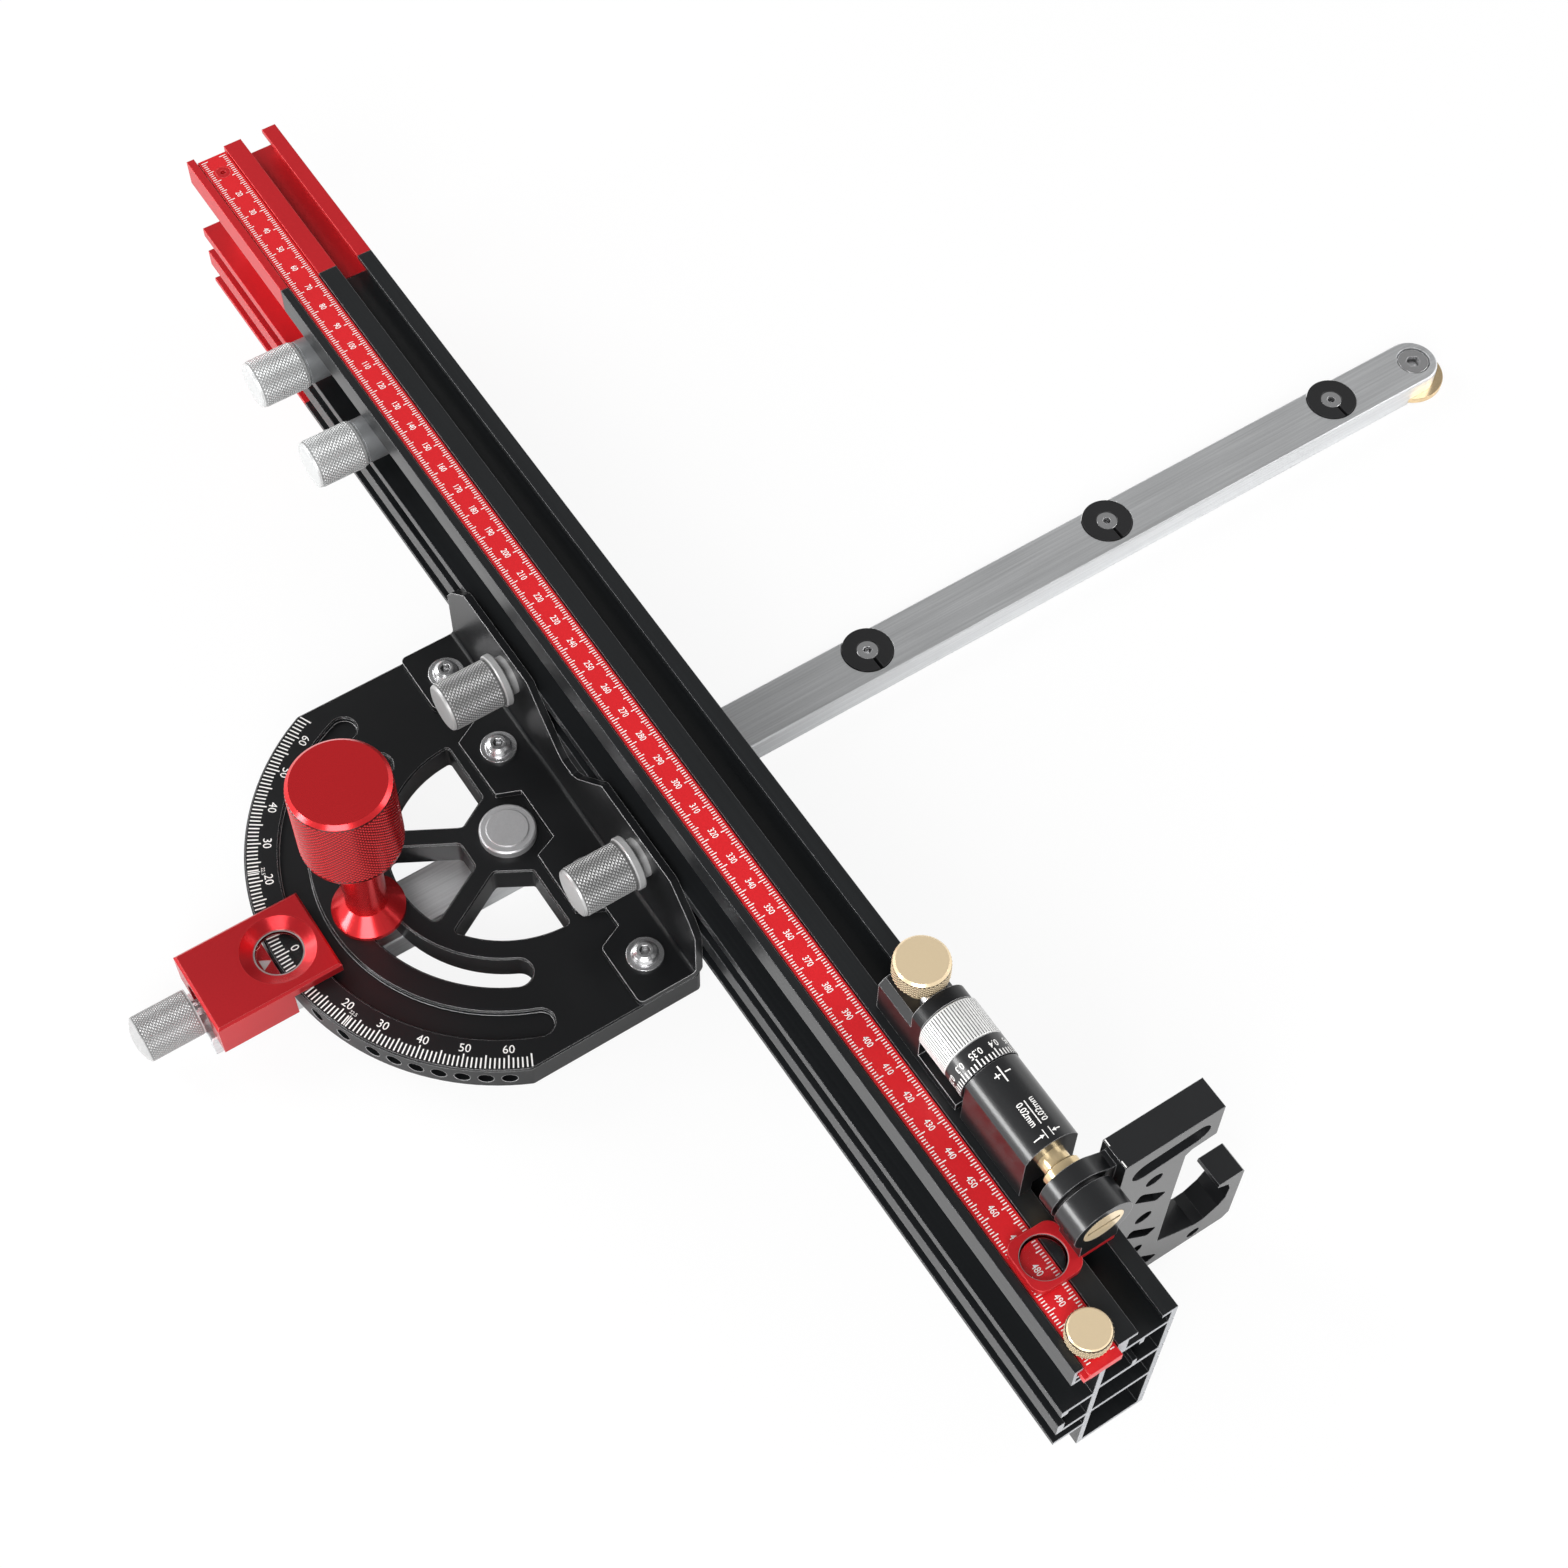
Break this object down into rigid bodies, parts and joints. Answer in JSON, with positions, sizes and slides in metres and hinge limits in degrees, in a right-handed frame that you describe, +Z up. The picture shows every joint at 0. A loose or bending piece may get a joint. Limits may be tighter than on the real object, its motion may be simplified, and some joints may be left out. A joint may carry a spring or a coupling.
{
  "type": "miter gauge",
  "caption": "Table-saw miter gauge: slotted guide bar, swivelling black head with a fixed-angle rim, long T-slot fence with a sliding red end, red rule and flip stop with fine feed.",
  "frame": {"origin": "swivel pivot axis at the underside of the guide bar", "axes": "+X along the fence towards the flip stop, +Y along the guide bar in the feed direction, +Z up"},
  "size_m": [0.5127, 0.526, 0.118],
  "materials": {
    "black_anodised": "black anodised, satin",
    "red_anodised": "red anodised, satin",
    "red_rule": "bright red with white marks",
    "silver_aluminium": "turned and knurled",
    "bar_steel": "brushed along its length",
    "dark_steel": "black oxide",
    "bright_steel": "turned",
    "brass": "turned and knurled",
    "black_plastic": "moulded",
    "clear_lens": "clear, polished",
    "grey_aluminium": "plain turned"
  },
  "bodies": {
    "guide_bar": {"bar": "bar_steel", "expansion_rings": "black_plastic", "ring_screws": "bright_steel", "end_screw": "bright_steel", "slot_disc": "brass", "pivot_pin": "bright_steel", "clamp_stud": "bright_steel", "index_block": "red_anodised", "index_screws": "dark_steel", "index_lens": "clear_lens"},
    "detent": {"detent_pin": "bright_steel", "detent_knob": "silver_aluminium"},
    "clamp_knob": {"clamp_knob": "red_anodised"},
    "head": {"head_plate": "black_anodised", "bracket": "black_anodised", "bracket_washers": "bright_steel", "bracket_screws": "bright_steel", "bracket_bolts": "bright_steel"},
    "bracket_knob_left": {"bracket_knob_left": "silver_aluminium"},
    "bracket_knob_right": {"bracket_knob_right": "silver_aluminium"},
    "fence": {"fence": "black_anodised", "bush_a": "grey_aluminium", "bush_b": "grey_aluminium"},
    "extension_knob_a": {"extension_knob_a": "silver_aluminium"},
    "extension_knob_b": {"extension_knob_b": "silver_aluminium"},
    "extension": {"extension": "red_anodised", "extension_bar": "grey_aluminium"},
    "rule": {"rule": "red_rule", "rule_end_screw": "red_anodised"},
    "rule_thumb_screw": {"rule_thumb_screw": "brass"},
    "stop_base": {"stop_base": "black_anodised", "feed_screw": "bright_steel", "slot_nut": "bright_steel"},
    "stop_lock_knob": {"stop_lock_knob": "brass"},
    "housing": {"stop_housing": "black_anodised", "spindle": "brass", "hub_washer": "black_plastic", "cursor_carrier": "black_anodised", "pivot_screw": "brass", "cursor_frame": "red_anodised", "cursor_lens": "clear_lens", "cursor_screw": "dark_steel"},
    "dial": {"dial": "silver_aluminium", "dial_sleeve": "black_anodised"},
    "arm": {"arm": "black_anodised"}
  },
  "joints": [
    {"name": "head_swivel", "type": "hinge", "parent": "guide_bar", "child": "head", "pos_m": [0, 0, 0.0145], "axis": [0, 0, 1], "range_deg": [-60, 60]},
    {"name": "clamp_knob_turn", "type": "hinge", "parent": "guide_bar", "child": "clamp_knob", "pos_m": [0, -0.0504, 0.06], "axis": [0, 0, 1], "continuous": true},
    {"name": "detent_slide", "type": "slide", "parent": "guide_bar", "child": "detent", "axis": [0, 1, 0], "range_m": [0, 0.0042]},
    {"name": "bracket_knob_left_turn", "type": "hinge", "parent": "head", "child": "bracket_knob_left", "pos_m": [-0.0352, 0.01, 0.048], "axis": [0, 1, 0], "continuous": true},
    {"name": "bracket_knob_right_turn", "type": "hinge", "parent": "head", "child": "bracket_knob_right", "pos_m": [0.0448, 0.01, 0.048], "axis": [0, 1, 0], "continuous": true},
    {"name": "fence_slide", "type": "slide", "parent": "head", "child": "fence", "axis": [1, 0, 0], "range_m": [-0.05, 0.05]},
    {"name": "extension_knob_a_turn", "type": "hinge", "parent": "fence", "child": "extension_knob_a", "pos_m": [-0.1695, 0.013, 0.06675], "axis": [0, 1, 0], "continuous": true},
    {"name": "extension_knob_b_turn", "type": "hinge", "parent": "fence", "child": "extension_knob_b", "pos_m": [-0.1295, 0.013, 0.06675], "axis": [0, 1, 0], "continuous": true},
    {"name": "extension_slide", "type": "slide", "parent": "fence", "child": "extension", "axis": [-1, 0, 0], "range_m": [0, 0.12]},
    {"name": "rule_slide", "type": "slide", "parent": "fence", "child": "rule", "axis": [1, 0, 0], "range_m": [-0.004, 0.01]},
    {"name": "rule_thumb_turn", "type": "hinge", "parent": "rule", "child": "rule_thumb_screw", "pos_m": [0.2516, 0.0343, 0.09], "axis": [0, 0, 1], "continuous": true},
    {"name": "stop_slide", "type": "slide", "parent": "fence", "child": "stop_base", "axis": [1, 0, 0], "range_m": [-0.32, 0.001]},
    {"name": "stop_lock_turn", "type": "hinge", "parent": "stop_base", "child": "stop_lock_knob", "pos_m": [0.1492, 0.0509, 0.112], "axis": [0, 0, 1], "continuous": true},
    {"name": "feed_slide", "type": "slide", "parent": "stop_base", "child": "housing", "axis": [1, 0, 0], "range_m": [0, 0.003]},
    {"name": "dial_turn", "type": "hinge", "parent": "housing", "child": "dial", "pos_m": [0.17, 0.0509, 0.1042], "axis": [1, 0, 0], "range_deg": [0, 2160]},
    {"name": "arm_flip", "type": "hinge", "parent": "housing", "child": "arm", "pos_m": [0.2205, 0.0509, 0.1042], "axis": [1, 0, 0], "range_deg": [0, 170]}
  ],
  "couplings": [
    {"joint": "dial_turn", "follows": "feed_slide", "rad_per_m": 12566}
  ]
}
